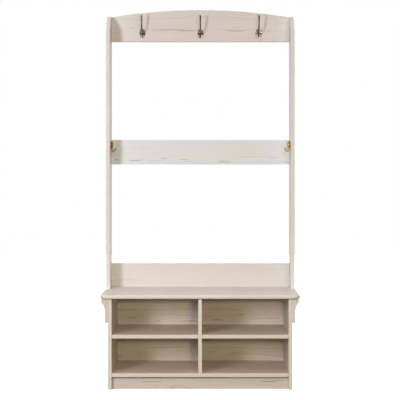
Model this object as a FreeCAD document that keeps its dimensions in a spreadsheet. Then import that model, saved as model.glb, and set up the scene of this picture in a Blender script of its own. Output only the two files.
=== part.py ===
import FreeCAD, Part
import math
import os
import re
import Sketcher

# Hall tree with hooks: a low bench cabinet with four open cubbies, two uprights
# standing on its seat, three rails between them and five hooks.
# Millimetres. X runs to the right, Y to the back and Z up; the origin is on the
# floor, in the middle of the width and the depth.

# ---------------------------------------------------------------- dimensions

SIZES = {
    # boards and their finish
    "board": (18, "thickness of every flat board"),
    "ease": (1.2, "radius of an eased board edge"),
    # seat
    "seat_width": (938, "width of the seat board, the widest piece"),
    "seat_depth": (400, "depth of the seat board"),
    "seat_height": (444, "height of the seat above the floor"),
    "seat_corner": (30, "radius of the seat's front corners, seen from above"),
    "seat_round": (5.5, "radius of the seat's front and side edges"),
    # cabinet
    "cabinet_width": (865, "width over the side panels"),
    "setback": (12, "cabinet front behind the seat's front edge"),
    "kick_height": (59.5, "height of the plinths"),
    "kick_setback": (20, "front plinth behind the cabinet front"),
    "shelf_height": (258, "height of the top of both shelves"),
    "shelf_gap": (0.5, "clearance at each end of a shelf"),
    "rear_recess": (22, "rear face of the back panel ahead of the rear edges"),
    "back_sheet": (4, "thickness of the back panel"),
    "groove_play": (0.2, "play each side of the back panel in its groove"),
    "back_play": (1, "play between the back panel's edges and the bottoms of its grooves"),
    "groove_deep": (8, "depth of the grooves in the side panels"),
    "seat_groove": (6, "depth of the groove under the seat"),
    # bracket mouldings under the overhangs of the seat
    "bracket_tall": (112.5, "height of a bracket moulding"),
    "bracket_reach": (31, "width of the lip at its top"),
    "bracket_lip": (17, "height of the lip"),
    "bracket_strip": (14, "width of its lower strip"),
    "cove_low": (55.5, "bottom of the cove above the moulding's bottom"),
    "cove_radius": (70, "radius of the cove"),
    # tree
    "tree_width": (925, "width over the uprights"),
    "upright_deep": (134, "depth of an upright"),
    "upright_top": (1793, "height of the uprights' tops"),
    "slope_deep": (97, "depth of the curved slope at an upright's top"),
    "slope_tall": (79, "height of that slope"),
    "slope_radius": (230, "radius of that slope"),
    "crown_top": (1829, "height of the middle of the arched rail"),
    "top_rail_low": (1670, "bottom of the top rail"),
    "middle_rail_low": (1057, "bottom of the middle rail"),
    "middle_rail_high": (1179, "top of the middle rail"),
    "lower_rail_high": (562, "top of the lower rail"),
    # dowels
    "dowel": (8, "diameter of a dowel and of its bores"),
    "dowel_face": (11, "length of a dowel in the face of a board"),
    "dowel_edge": (19, "length of a dowel in the edge of a board"),
    "dowel_short": (10, "half the length of a bracket dowel"),
    "dowel_chamfer": (1, "chamfer at a dowel's ends"),
    # cam fittings
    "cam": (15, "diameter of a cam and of its bore"),
    "cam_deep": (12.5, "depth of a cam and of its bore"),
    "cam_reach": (34, "from a cam's axis to the joint"),
    "cam_slot": (9, "length of the screwdriver slot in a cam"),
    "bolt": (6, "diameter of a cam bolt's shank"),
    "bolt_bore": (8, "bore for the shank"),
    "bolt_head": (7, "diameter of a cam bolt's head"),
    "bolt_neck": (4, "diameter of the neck that the cam grips"),
    "bolt_thread": (5, "diameter of a cam bolt's thread"),
    "bolt_grip": (11, "length of the thread in the face of a board"),
    # places of the fittings
    "end_inset": (60, "first fitting from the end of a joint"),
    "pitch": (32, "dowel beside a cam fitting"),
    "rail_inset": (28, "cam fittings from a rail's bottom and end height"),
    # wood screws
    "screw": (4.5, "diameter of a wood screw"),
    "screw_head": (9, "diameter of its countersunk head"),
    "screw_sink": (2.25, "height of that head, a right-angled cone"),
    "screw_length": (55, "length of a wood screw"),
    "recess": (1.2, "width of a screw's cross recess"),
    "recess_deep": (1.5, "depth of that recess"),
    # nails
    "nail": (1.6, "diameter of a back panel nail"),
    "nail_head": (4.4, "diameter of its head"),
    "nail_cap": (0.8, "thickness of its head"),
    "nail_length": (20, "length of its shank"),
    # shelf pins
    "pin": (5, "diameter of a shelf pin"),
    "pin_half": (8, "length of a pin in the wood, and out of it"),
    "pin_inset": (50, "pins from the front and the rear of a shelf"),
    # coat hooks on the top rail
    "hook_spacing": (291, "between neighbouring coat hooks"),
    "hook_height": (1711, "height of the middle of a coat hook's plate"),
    "plate_wide": (30, "width of its oval plate"),
    "plate_tall": (49, "height of its oval plate"),
    "plate_thick": (4, "thickness of its plate"),
    "hub_wide": (6.4, "half width of the rounded hub on the plate"),
    "hub_deep": (3.6, "how far the hub stands out from the plate"),
    "hub_tall": (17, "half height of the hub"),
    "arm": (6.6, "diameter of the long upper arm"),
    "arm_root": (9, "root of the upper arm above the plate's middle"),
    "arm_start": (15, "straight length at the arm's root"),
    "arm_bend": (38, "radius of the arm's bend"),
    "arm_tip_out": (62, "tip of the arm from the rail"),
    "arm_tip_up": (81, "tip of the arm above the plate's middle"),
    "arm_ball": (4.6, "radius of the ball at the arm's tip"),
    "prong": (6.6, "diameter of the short lower prong"),
    "prong_root": (13, "root of the prong below the plate's middle"),
    "prong_start": (12, "straight length at the prong's root"),
    "prong_bend": (12, "radius of the prong's bend"),
    "prong_tip_out": (25, "tip of the prong from the rail"),
    "prong_tip_up": (3, "tip of the prong above the plate's middle"),
    "prong_ball": (4.6, "radius of the ball at the prong's tip"),
    "hook_screw": (3.2, "diameter of a hook screw"),
    "hook_screw_head": (6.6, "diameter of its rounded head"),
    "hook_screw_cap": (2, "height of its head"),
    "hook_screw_grip": (13, "length of the screw in the wood"),
    "hook_screw_out": (10, "hook screws from the middle of the plate"),
    # brass hooks on the uprights
    "side_hook_height": (1153, "height of the middle of a side hook's plate"),
    "side_hook_ahead": (80, "side hook ahead of the rear edges"),
    "side_plate_wide": (30, "width of its plate, front to back"),
    "side_plate_tall": (40, "height of its plate"),
    "side_plate_thick": (3, "thickness of its plate"),
    "side_hub_out": (6.75, "middle of its rounded body from the upright"),
    "side_hub_deep": (5.75, "half the depth of the body"),
    "side_hub_wide": (5.5, "half the width of the body"),
    "side_hub_tall": (17, "half the height of the body"),
    "side_hub_lift": (2.5, "middle of the body above the plate's middle"),
    "side_screw_out": (9.6, "its screws from the middle of the plate"),
    "side_stem": (6.4, "diameter of its prong"),
    "side_stem_out": (8.4, "axis of the prong's stem from the upright"),
    "side_foot": (4.5, "radius of the bend at the prong's foot"),
    "side_foot_low": (37, "bottom of the bend below the plate's middle"),
    "side_tip_out": (29, "tip of the prong from the upright"),
    "side_tip_low": (17, "tip of the prong below the plate's middle"),
    "side_ball": (4.2, "radius of the ball at its tip"),
}

doc = FreeCAD.newDocument("hall_tree_with_hooks")
sheet = doc.addObject("Spreadsheet::Sheet", "sizes")
for row, (alias, (millimetres, note)) in enumerate(SIZES.items(), start=1):
    sheet.set(f"A{row}", alias)
    sheet.set(f"B{row}", str(millimetres))
    sheet.setAlias(f"B{row}", alias)
    sheet.set(f"C{row}", note)
doc.recompute()

# Places that several pieces share, as formulas in the sheet's words.
LEFT = "-"
RIGHT = ""
SIDES = {"left": LEFT, "right": RIGHT}
SEAT_FRONT = "-seat_depth / 2"
REAR = "seat_depth / 2"
BENCH_FRONT = "setback - seat_depth / 2"
BENCH_DEEP = "seat_depth - setback"
BENCH_TOP = "seat_height - board"
PANEL_REAR = "seat_depth / 2 - rear_recess"
INNER_REAR = "seat_depth / 2 - rear_recess - back_sheet"
INNER_DEEP = "seat_depth - setback - rear_recess - back_sheet"
INNER_HALF = "(cabinet_width / 2 - board)"
FLOOR_TOP = "kick_height + board"
RAIL_FRONT = "seat_depth / 2 - board"
RAIL_AXIS = "seat_depth / 2 - board / 2"
RAIL_HALF = "(tree_width / 2 - board)"
UPRIGHT_FRONT = "seat_depth / 2 - upright_deep"

# A direction is an axis number and a sign.
DIRECTIONS = {
    "right": (0, 1),
    "left": (0, -1),
    "back": (1, 1),
    "front": (1, -1),
    "up": (2, 1),
    "down": (2, -1),
}
OPPOSITE = {
    "right": "left",
    "left": "right",
    "back": "front",
    "front": "back",
    "up": "down",
    "down": "up",
}
SQUARE_TO = {
    "right": "up",
    "left": "up",
    "back": "up",
    "front": "up",
    "up": "right",
    "down": "right",
}
# For each axis: the origin plane across it, the sketch's two axes, and the
# sign of the plane's normal.
PLANES = {
    0: ("YZ_Plane", (1, 2), 1),
    1: ("XZ_Plane", (0, 2), -1),
    2: ("XY_Plane", (0, 1), 1),
}

kept = []
corner_of = {}


# ------------------------------------------------------------------- helpers

def worded(formula):
    """The formula with the sheet's name before each of its words."""
    return re.sub(r"[a-z_]+", lambda word: "sizes." + word.group(), formula)


def bind(thing, path, formula):
    """Tie a property or a constraint to a formula."""
    thing.setExpression(path, worded(formula))


def value(formula):
    """The formula's present value, in millimetres."""
    return float(sheet.evalExpression(worded(formula)))


def vector(direction):
    axis, sign = DIRECTIONS[direction]
    parts = [0, 0, 0]
    parts[axis] = sign
    return FreeCAD.Vector(*parts)


def moved(spot, direction, distance):
    """The spot, moved along a direction by a distance."""
    axis, sign = DIRECTIONS[direction]
    result = list(spot)
    operator = "+" if sign > 0 else "-"
    result[axis] = f"{spot[axis]} {operator} ({distance})"
    return tuple(result)


def keep(item):
    """Count the object as one of the hall tree's pieces."""
    kept.append(item)
    return item


def new_body(label, corner=("0", "0", "0")):
    """An empty body whose own origin lies at the given corner."""
    body = doc.addObject("PartDesign::Body", label)
    body.Label = label
    for axis, formula in zip("xyz", corner):
        bind(body, f".Placement.Base.{axis}", formula)
    corner_of[body.Name] = corner
    return body


def attach(body, item, plane, offset="0"):
    """Lay a sketch or a solid feature on one of its own body's origin planes."""
    for feature in body.Origin.OriginFeatures:
        if feature.Role == plane:
            item.AttachmentSupport = [(feature, "")]
    item.MapMode = "FlatFace"
    bind(item, ".AttachmentOffset.Base.z", offset)


def hold(sketch, kind, geometry, end, formula, name):
    """Fix one coordinate of a sketch point, measured from the sketch's origin."""
    if formula == "0":
        axis_line = -2 if kind == "DistanceX" else -1
        sketch.addConstraint(Sketcher.Constraint("PointOnObject", geometry, end, axis_line))
        return
    size = value(formula)
    if size < 0:
        number = sketch.addConstraint(
            Sketcher.Constraint(kind, geometry, end, -1, 1, -size))
        formula = f"-({formula})"
    else:
        number = sketch.addConstraint(
            Sketcher.Constraint(kind, -1, 1, geometry, end, size))
    sketch.renameConstraint(number, name)
    bind(sketch, f"Constraints.{name}", formula)


def arc_between(start, finish, radius, bulge):
    """The arc from start to finish; bulge 1 swells to the right of travel, -1 to the left."""
    chord = finish - start
    half = chord.Length / 2
    rise = radius - (radius * radius - half * half) ** 0.5
    across = FreeCAD.Vector(chord.y, -chord.x, 0).normalize()
    middle = (start + finish) * 0.5 + across * (rise * bulge)
    return Part.Arc(start, middle, finish)


def path(body, name, plane, corners, arcs=None, offset="0", closed=True):
    """A sketch through the corners; arcs gives the radius and bulge of curved sides."""
    arcs = arcs or {}
    sketch = body.newObject("Sketcher::SketchObject", name)
    attach(body, sketch, plane, offset)
    points = [FreeCAD.Vector(value(u), value(v), 0) for u, v in corners]
    sides = len(points) if closed else len(points) - 1
    ends = []
    for side in range(sides):
        start = points[side]
        finish = points[(side + 1) % len(points)]
        if side in arcs:
            radius, bulge = arcs[side]
            arc = arc_between(start, finish, value(radius), bulge)
            sketch.addGeometry(arc, False)
            # an arc in a sketch always runs anticlockwise, from end 1 to end 2
            ends.append((1, 2) if bulge > 0 else (2, 1))
            number = sketch.addConstraint(
                Sketcher.Constraint("Radius", side, value(radius)))
            sketch.renameConstraint(number, f"radius{side}")
            bind(sketch, f"Constraints.radius{side}", radius)
        else:
            sketch.addGeometry(Part.LineSegment(start, finish), False)
            ends.append((1, 2))
    for side in range(sides - 1):
        sketch.addConstraint(Sketcher.Constraint(
            "Coincident", side, ends[side][1], side + 1, ends[side + 1][0]))
    if closed:
        sketch.addConstraint(Sketcher.Constraint(
            "Coincident", sides - 1, ends[-1][1], 0, ends[0][0]))
    for number, (u, v) in enumerate(corners):
        last = number == sides
        side = number - 1 if last else number
        end = ends[side][1] if last else ends[side][0]
        hold(sketch, "DistanceX", side, end, u, f"across{number}")
        hold(sketch, "DistanceY", side, end, v, f"along{number}")
    return sketch


def circles(body, name, plane, centres, diameter, offset="0"):
    """A sketch of equal circles."""
    sketch = body.newObject("Sketcher::SketchObject", name)
    attach(body, sketch, plane, offset)
    for number, (u, v) in enumerate(centres):
        centre = FreeCAD.Vector(value(u), value(v), 0)
        sketch.addGeometry(
            Part.Circle(centre, FreeCAD.Vector(0, 0, 1), value(diameter) / 2), False)
        hold(sketch, "DistanceX", number, 3, u, f"across{number}")
        hold(sketch, "DistanceY", number, 3, v, f"along{number}")
        size = sketch.addConstraint(
            Sketcher.Constraint("Diameter", number, value(diameter)))
        sketch.renameConstraint(size, f"diameter{number}")
        bind(sketch, f"Constraints.diameter{number}", diameter)
    return sketch


def oval(body, name, plane, wide, tall):
    """A sketch of an upright oval about the sketch's origin."""
    sketch = body.newObject("Sketcher::SketchObject", name)
    attach(body, sketch, plane)
    top = FreeCAD.Vector(0, value(tall) / 2, 0)
    side = FreeCAD.Vector(value(wide) / 2, 0, 0)
    sketch.addGeometry(Part.Ellipse(top, side, FreeCAD.Vector()), False)
    sketch.exposeInternalGeometry(0)
    sketch.addConstraint(Sketcher.Constraint("Coincident", 0, 3, -1, 1))
    sketch.addConstraint(Sketcher.Constraint("PointOnObject", 1, 1, -2))
    for geometry, span, formula in ((1, "tall", tall), (2, "wide", wide)):
        number = sketch.addConstraint(
            Sketcher.Constraint("Distance", geometry, value(formula)))
        sketch.renameConstraint(number, span)
        bind(sketch, f"Constraints.{span}", formula)
    return sketch


def pad(body, sketch, length, reverse=False):
    """Push a sketch out into a solid."""
    feature = body.newObject("PartDesign::Pad", f"{sketch.Name}_pad")
    feature.Profile = sketch
    bind(feature, "Length", length)
    feature.Reversed = reverse
    doc.recompute()
    return feature


def cut(body, sketch, direction, depth):
    """Cut a sketch into the body along a direction."""
    axis, sign = DIRECTIONS[direction]
    before = body.Shape.Volume
    feature = body.newObject("PartDesign::Pocket", f"{sketch.Name}_cut")
    feature.Profile = sketch
    bind(feature, "Length", depth)
    feature.Reversed = sign == PLANES[axis][2]
    doc.recompute()
    if body.Shape.Volume >= before - 0.01:
        raise RuntimeError(f"{body.Label}: {sketch.Name} cuts nothing")
    return feature


def on_plane(body, direction, spots):
    """The plane across a direction, its offset, and the spots in the plane."""
    axis = DIRECTIONS[direction][0]
    plane, (first, second), normal = PLANES[axis]
    corner = corner_of[body.Name]
    sign = "-" if normal < 0 else ""
    offset = f"{sign}(({spots[0][axis]}) - ({corner[axis]}))"
    centres = []
    for spot in spots:
        u = f"({spot[first]}) - ({corner[first]})"
        v = f"({spot[second]}) - ({corner[second]})"
        centres.append((u, v))
    return plane, offset, centres


def drill(body, direction, spots, diameter, depth):
    """Drill equal holes that start at spots given in the whole piece's frame."""
    plane, offset, centres = on_plane(body, direction, spots)
    sketch = circles(body, "bores", plane, centres, diameter, offset)
    return cut(body, sketch, direction, depth)


def groove(body, direction, low, high, depth):
    """Cut a straight groove between two opposite corners on a face."""
    plane, offset, (near, far) = on_plane(body, direction, [low, high])
    corners = [near, (far[0], near[1]), far, (near[0], far[1])]
    sketch = path(body, "groove", plane, corners, offset=offset)
    return cut(body, sketch, direction, depth)


def ease_edges(body, base, radius, chosen=lambda box: True):
    """Round the edges whose bounding boxes are chosen."""
    names = []
    for number, edge in enumerate(base.Shape.Edges, start=1):
        if chosen(edge.BoundBox):
            names.append(f"Edge{number}")
    feature = body.newObject("PartDesign::Fillet", "eased")
    feature.Base = (base, names)
    bind(feature, "Radius", radius)
    doc.recompute()
    return feature


def board(label, corner, spans):
    """A flat board with eased edges, from its low corner and its three spans."""
    body = new_body(label, corner)
    wide, deep, tall = spans
    corners = [("0", "0"), (wide, "0"), (wide, deep), ("0", deep)]
    plan = path(body, "plan", "XY_Plane", corners)
    slab = pad(body, plan, tall)
    ease_edges(body, slab, "ease")
    return keep(body)


def turned(label, outline):
    """A pattern piece turned about Z, from its radii and heights, axis to axis."""
    body = new_body(label)
    section = path(body, "section", "XZ_Plane", outline)
    turn = body.newObject("PartDesign::Revolution", "turned")
    turn.Profile = section
    turn.ReferenceAxis = (section, ["V_Axis"])
    turn.Angle = 360
    doc.recompute()
    return body


def cross_recess(body, level, arm_length):
    """The cross recess in a screw's head, which faces down."""
    half = "recess / 2"
    for name, wide, tall in (("slot_across", arm_length, half), ("slot_along", half, arm_length)):
        corners = [(f"-({wide})", f"-({tall})"), (wide, f"-({tall})"),
                   (wide, tall), (f"-({wide})", tall)]
        slot = path(body, name, "XY_Plane", corners, offset=level)
        cut(body, slot, "up", "recess_deep")


def group(label, places):
    """Equal pieces as separate solids of one node: pattern, spot, drive and turn."""
    copies = []
    for pattern, spot, drive, turn in places:
        copy = doc.addObject("App::Link", f"{label}_copy")
        copy.LinkedObject = pattern
        rotation = FreeCAD.Rotation(vector(turn), FreeCAD.Vector(), vector(drive), "ZXY")
        copy.Placement = FreeCAD.Placement(FreeCAD.Vector(), rotation)
        for axis, formula in zip("xyz", spot):
            bind(copy, f".Placement.Base.{axis}", formula)
        copies.append(copy)
    compound = doc.addObject("Part::Compound", label)
    compound.Label = label
    compound.Links = copies
    return keep(compound)


# ------------------------------------------------------------ bench cabinet

def make_seat():
    """The seat board: rounded front corners, and soft front and side edges."""
    seat = new_body("seat_top", ("-seat_width / 2", SEAT_FRONT, BENCH_TOP))
    corners = [
        ("0", "seat_corner"),
        ("seat_corner", "0"),
        ("seat_width - seat_corner", "0"),
        ("seat_width", "seat_corner"),
        ("seat_width", "seat_depth"),
        ("0", "seat_depth"),
    ]
    arcs = {0: ("seat_corner", 1), 2: ("seat_corner", 1)}
    plan = path(seat, "plan", "XY_Plane", corners, arcs)
    slab = pad(seat, plan, "board")
    rear = value("seat_depth") - 0.1
    ease_edges(seat, slab, "seat_round",
               lambda box: box.ZLength < 0.1 and box.YMin < rear)
    half = f"{INNER_HALF} + groove_deep"
    groove(seat, "up",
           (f"-({half})", f"{INNER_REAR} - groove_play", BENCH_TOP),
           (half, f"{PANEL_REAR} + groove_play", BENCH_TOP), "seat_groove")
    return keep(seat)


def make_side_panel(name, sign):
    """A side panel, with the groove that holds the back panel."""
    inner = f"{sign}{INNER_HALF}"
    low_x = "-cabinet_width / 2" if sign == LEFT else inner
    panel = board(f"side_panel_{name}", (low_x, BENCH_FRONT, "0"),
                  ("board", BENCH_DEEP, BENCH_TOP))
    groove(panel, name,
           (inner, f"{INNER_REAR} - groove_play", "kick_height"),
           (inner, f"{PANEL_REAR} + groove_play", BENCH_TOP), "groove_deep")
    return panel


def make_bracket(name, sign):
    """The moulding that carries the seat's overhang: a strip, a cove and a lip."""
    corner = (f"{sign}cabinet_width / 2", BENCH_FRONT, "seat_height - board - bracket_tall")
    bracket = new_body(f"seat_bracket_{name}", corner)
    corners = [
        ("0", "0"),
        (f"{sign}bracket_strip", "0"),
        (f"{sign}bracket_strip", "cove_low"),
        (f"{sign}bracket_reach", "bracket_tall - bracket_lip"),
        (f"{sign}bracket_reach", "bracket_tall"),
        ("0", "bracket_tall"),
    ]
    bulge = -1 if sign == RIGHT else 1
    profile = path(bracket, "profile", "XZ_Plane", corners, {2: ("cove_radius", bulge)})
    moulding = pad(bracket, profile, BENCH_DEEP, reverse=True)
    ease_edges(bracket, moulding, "ease", lambda box: box.YLength < 0.1)
    return keep(bracket)


def make_shelf(name, sign):
    """A shelf between a side panel and the divider, resting on four pins."""
    length = f"{INNER_HALF} - board / 2 - 2 * shelf_gap"
    if sign == LEFT:
        low_x = f"shelf_gap - {INNER_HALF}"
    else:
        low_x = "board / 2 + shelf_gap"
    return board(f"shelf_{name}", (low_x, BENCH_FRONT, "shelf_height - board"),
                 (length, INNER_DEEP, "board"))


seat_top = make_seat()
side_panels = {name: make_side_panel(name, sign) for name, sign in SIDES.items()}
brackets = {name: make_bracket(name, sign) for name, sign in SIDES.items()}
shelves = {name: make_shelf(name, sign) for name, sign in SIDES.items()}
bottom_panel = board("bottom_panel", (f"-{INNER_HALF}", BENCH_FRONT, "kick_height"),
                     (f"2 * {INNER_HALF}", INNER_DEEP, "board"))
divider = board("center_divider", ("-board / 2", BENCH_FRONT, FLOOR_TOP),
                ("board", INNER_DEEP, f"{BENCH_TOP} - ({FLOOR_TOP})"))
plinth_front = board("plinth_front", (f"-{INNER_HALF}", f"{BENCH_FRONT} + kick_setback", "0"),
                     (f"2 * {INNER_HALF}", "board", "kick_height"))
plinth_rear = board("plinth_rear", (f"-{INNER_HALF}", f"{INNER_REAR} - board", "0"),
                    (f"2 * {INNER_HALF}", "board", "kick_height"))
back_half = f"({INNER_HALF} + groove_deep - back_play)"
back_panel = new_body("back_panel", (f"-{back_half}", INNER_REAR, "kick_height + back_play"))
back_wide = f"2 * {back_half}"
back_tall = f"{BENCH_TOP} + seat_groove - kick_height - 2 * back_play"
back_plan = path(back_panel, "face", "XZ_Plane",
                 [("0", "0"), (back_wide, "0"), (back_wide, back_tall), ("0", back_tall)])
pad(back_panel, back_plan, "back_sheet", reverse=True)
keep(back_panel)


# --------------------------------------------------------------------- tree

def make_upright(name, sign):
    """An upright, with the curved slope that takes off its top front corner."""
    low_x = "-tree_width / 2" if sign == LEFT else RAIL_HALF
    upright = new_body(f"upright_{name}", (low_x, UPRIGHT_FRONT, "seat_height"))
    top = "upright_top - seat_height"
    corners = [
        ("0", "0"),
        ("upright_deep", "0"),
        ("upright_deep", top),
        ("slope_deep", top),
        ("0", f"{top} - slope_tall"),
    ]
    side = path(upright, "side", "YZ_Plane", corners, {3: ("slope_radius", 1)})
    plank = pad(upright, side, "board")
    ease_edges(upright, plank, "ease")
    return keep(upright)


def make_top_rail():
    """The top rail, whose upper edge is one shallow arch."""
    rail = new_body("top_rail", (f"-{RAIL_HALF}", RAIL_FRONT, "top_rail_low"))
    length = f"2 * {RAIL_HALF}"
    shoulder = "upright_top - top_rail_low"
    rise = "(crown_top - upright_top)"
    radius = f"({RAIL_HALF} * {RAIL_HALF} + {rise} * {rise}) / (2 * {rise})"
    corners = [("0", "0"), (length, "0"), (length, shoulder), ("0", shoulder)]
    face = path(rail, "face", "XZ_Plane", corners, {2: (radius, 1)})
    plank = pad(rail, face, "board", reverse=True)
    ease_edges(rail, plank, "ease")
    return keep(rail)


uprights = {name: make_upright(name, sign) for name, sign in SIDES.items()}
top_rail = make_top_rail()
middle_rail = board("middle_rail", (f"-{RAIL_HALF}", RAIL_FRONT, "middle_rail_low"),
                    (f"2 * {RAIL_HALF}", "board", "middle_rail_high - middle_rail_low"))
lower_rail = board("lower_rail", (f"-{RAIL_HALF}", RAIL_FRONT, "seat_height"),
                   (f"2 * {RAIL_HALF}", "board", "lower_rail_high - seat_height"))


# -------------------------------------------------------------------- hooks

def bent_rod(body, name, diameter, plane, ring_plane, ring, start, elbow, tip, bend):
    """A round rod: straight from start to elbow, round one bend, straight to its tip."""
    spine = body.newObject("Sketcher::SketchObject", f"{name}_spine")
    attach(body, spine, plane)
    first, second, last = [FreeCAD.Vector(value(u), value(v), 0) for u, v in (start, elbow, tip)]
    radius = value(bend)
    along = (second - first).normalize()
    across = FreeCAD.Vector(-along.y, along.x, 0)
    turns_left = across.dot(last - second) > 0
    if not turns_left:
        across = across * -1
    centre = second + across * radius
    to_tip = last - centre
    lean = math.atan2(to_tip.dot(along), -to_tip.dot(across))
    angle = lean - math.acos(radius / to_tip.Length)
    half_way = centre + (along * math.sin(angle / 2) - across * math.cos(angle / 2)) * radius
    bend_end = centre + (along * math.sin(angle) - across * math.cos(angle)) * radius
    spine.addGeometry(Part.LineSegment(first, second), False)
    spine.addGeometry(Part.Arc(second, half_way, bend_end), False)
    spine.addGeometry(Part.LineSegment(bend_end, last), False)
    into, out_of = (1, 2) if turns_left else (2, 1)
    spine.addConstraint(Sketcher.Constraint("Tangent", 0, 2, 1, into))
    spine.addConstraint(Sketcher.Constraint("Tangent", 1, out_of, 2, 1))
    number = spine.addConstraint(Sketcher.Constraint("Radius", 1, radius))
    spine.renameConstraint(number, "bend")
    bind(spine, "Constraints.bend", bend)
    for label, geometry, end, (u, v) in (
            ("start", 0, 1, start), ("elbow", 0, 2, elbow), ("tip", 2, 2, tip)):
        hold(spine, "DistanceX", geometry, end, u, f"{label}_across")
        hold(spine, "DistanceY", geometry, end, v, f"{label}_along")
    section = circles(body, f"{name}_section", ring_plane, [ring], diameter)
    rod = body.newObject("PartDesign::AdditivePipe", f"{name}_rod")
    rod.Profile = section
    rod.Spine = spine
    doc.recompute()
    return rod


def rounded(body, kind, name, place, radii):
    """A ball or an ellipsoid fused to the body at a place in the body's own frame."""
    feature = body.newObject(kind, name)
    attach(body, feature, "XY_Plane", place[2])
    bind(feature, ".AttachmentOffset.Base.x", place[0])
    bind(feature, ".AttachmentOffset.Base.y", place[1])
    for prop, formula in radii.items():
        bind(feature, prop, formula)
    doc.recompute()
    return feature


def ball(body, name, place, radius):
    return rounded(body, "PartDesign::AdditiveSphere", name, place, {"Radius": radius})


def hub(body, name, place, wide, deep, tall):
    """An ellipsoid given by its half spans."""
    return rounded(body, "PartDesign::AdditiveEllipsoid", name, place,
                   {"Radius1": tall, "Radius2": wide, "Radius3": deep})


def make_coat_hook(name, x_place):
    """A cast coat hook: oval plate, long upper arm, short lower prong, ball tips."""
    hook = new_body(f"coat_hook_{name}", (x_place, RAIL_FRONT, "hook_height"))
    oval_plate = oval(hook, "plate", "XZ_Plane", "plate_wide", "plate_tall")
    plate = pad(hook, oval_plate, "plate_thick")
    front = 0.1 - value("plate_thick")
    ease_edges(hook, plate, "plate_thick / 2", lambda box: box.YMax < front)
    hub(hook, "hub", ("0", "-plate_thick", "0"), "hub_wide", "hub_deep", "hub_tall")
    bent_rod(hook, "upper", "arm", "YZ_Plane", "XZ_Plane", ("0", "arm_root"),
             ("0", "arm_root"), ("-arm_start", "arm_root"),
             ("-arm_tip_out", "arm_tip_up"), "arm_bend")
    ball(hook, "arm_ball", ("0", "-arm_tip_out", "arm_tip_up"), "arm_ball")
    bent_rod(hook, "lower", "prong", "YZ_Plane", "XZ_Plane", ("0", "-prong_root"),
             ("0", "-prong_root"), ("-prong_start", "-prong_root"),
             ("-prong_tip_out", "prong_tip_up"), "prong_bend")
    ball(hook, "prong_ball", ("0", "-prong_tip_out", "prong_tip_up"), "prong_ball")
    screw_holes = circles(hook, "bores", "XZ_Plane",
                          [("-hook_screw_out", "0"), ("hook_screw_out", "0")],
                          "hook_screw", "plate_thick")
    cut(hook, screw_holes, "back", "plate_thick")
    return keep(hook)


def screw_spots(x_place):
    """The two screws of a coat hook, on the front of its plate."""
    spots = []
    for sign in "-+":
        x = f"{x_place} {sign} hook_screw_out"
        spots.append((x, f"{RAIL_FRONT} - plate_thick", "hook_height"))
    return spots


def side_screw_spots(sign):
    """The two screws of a side hook, on the inner side of its plate."""
    x = f"{sign}({RAIL_HALF} - side_plate_thick)"
    spots = []
    for step in "-+":
        y = f"seat_depth / 2 - side_hook_ahead {step} side_screw_out"
        spots.append((x, y, "side_hook_height"))
    return spots


def make_side_hook(name, sign):
    """A single brass hook on an upright's inner face: plate, body and curved prong."""
    hook = new_body(f"side_hook_{name}",
                    (f"{sign}{RAIL_HALF}", "seat_depth / 2 - side_hook_ahead", "side_hook_height"))
    if sign == RIGHT:
        turn_round = FreeCAD.Rotation(FreeCAD.Vector(0, 0, 1), 180)
        hook.Placement = FreeCAD.Placement(FreeCAD.Vector(), turn_round)
    oval_plate = oval(hook, "plate", "YZ_Plane", "side_plate_wide", "side_plate_tall")
    plate = pad(hook, oval_plate, "side_plate_thick")
    front = value("side_plate_thick") - 0.1
    ease_edges(hook, plate, "side_plate_thick / 2", lambda box: box.XMin > front)
    hub(hook, "side_hub", ("side_hub_out", "0", "side_hub_lift"),
        "side_hub_deep", "side_hub_wide", "side_hub_tall")
    bent_rod(hook, "stem", "side_stem", "XZ_Plane", "XY_Plane", ("side_stem_out", "0"),
             ("side_stem_out", "0"), ("side_stem_out", "side_foot - side_foot_low"),
             ("side_tip_out", "-side_tip_low"), "side_foot")
    ball(hook, "side_ball", ("side_tip_out", "0", "-side_tip_low"), "side_ball")
    screw_holes = circles(hook, "bores", "YZ_Plane",
                          [("-side_screw_out", "0"), ("side_screw_out", "0")],
                          "hook_screw", "side_plate_thick")
    cut(hook, screw_holes, "left", "side_plate_thick")
    return keep(hook)


hook_places = {"left": "-hook_spacing", "center": "0", "right": "hook_spacing"}
for name, x_place in hook_places.items():
    make_coat_hook(name, x_place)
for name, sign in SIDES.items():
    make_side_hook(name, sign)


# --------------------------------------------------- patterns of the fittings
# Each pattern points along +Z, the way it is driven, with its joint at Z = 0.

def chamfered_pin(label, radius, below, above, chamfer):
    """A round pin with chamfered ends, from below the joint to above it."""
    return turned(label, [
        ("0", f"-{below}"),
        (f"{radius} - {chamfer}", f"-{below}"),
        (radius, f"{chamfer} - {below}"),
        (radius, f"{above} - {chamfer}"),
        (f"{radius} - {chamfer}", above),
        ("0", above),
    ])


def make_wood_screw():
    """A countersunk wood screw, flush at the joint."""
    screw = turned("wood_screw_pattern", [
        ("0", "0"),
        ("screw_head / 2", "0"),
        ("screw / 2", "screw_sink"),
        ("screw / 2", "screw_length - screw"),
        ("0", "screw_length"),
    ])
    cross_recess(screw, "0", "screw_head / 4")
    return screw


def make_hook_screw(label, plate):
    """A screw with a rounded head that sits on a hook's plate."""
    screw = turned(label, [
        ("0", "-hook_screw_cap"),
        ("hook_screw_head / 4", "-hook_screw_cap"),
        ("hook_screw_head / 2", "-hook_screw_cap / 3"),
        ("hook_screw_head / 2", "0"),
        ("hook_screw / 2", "0"),
        ("hook_screw / 2", f"{plate} + hook_screw_grip - hook_screw"),
        ("0", f"{plate} + hook_screw_grip"),
    ])
    cross_recess(screw, "-hook_screw_cap", "hook_screw_head / 4")
    return screw


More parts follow.
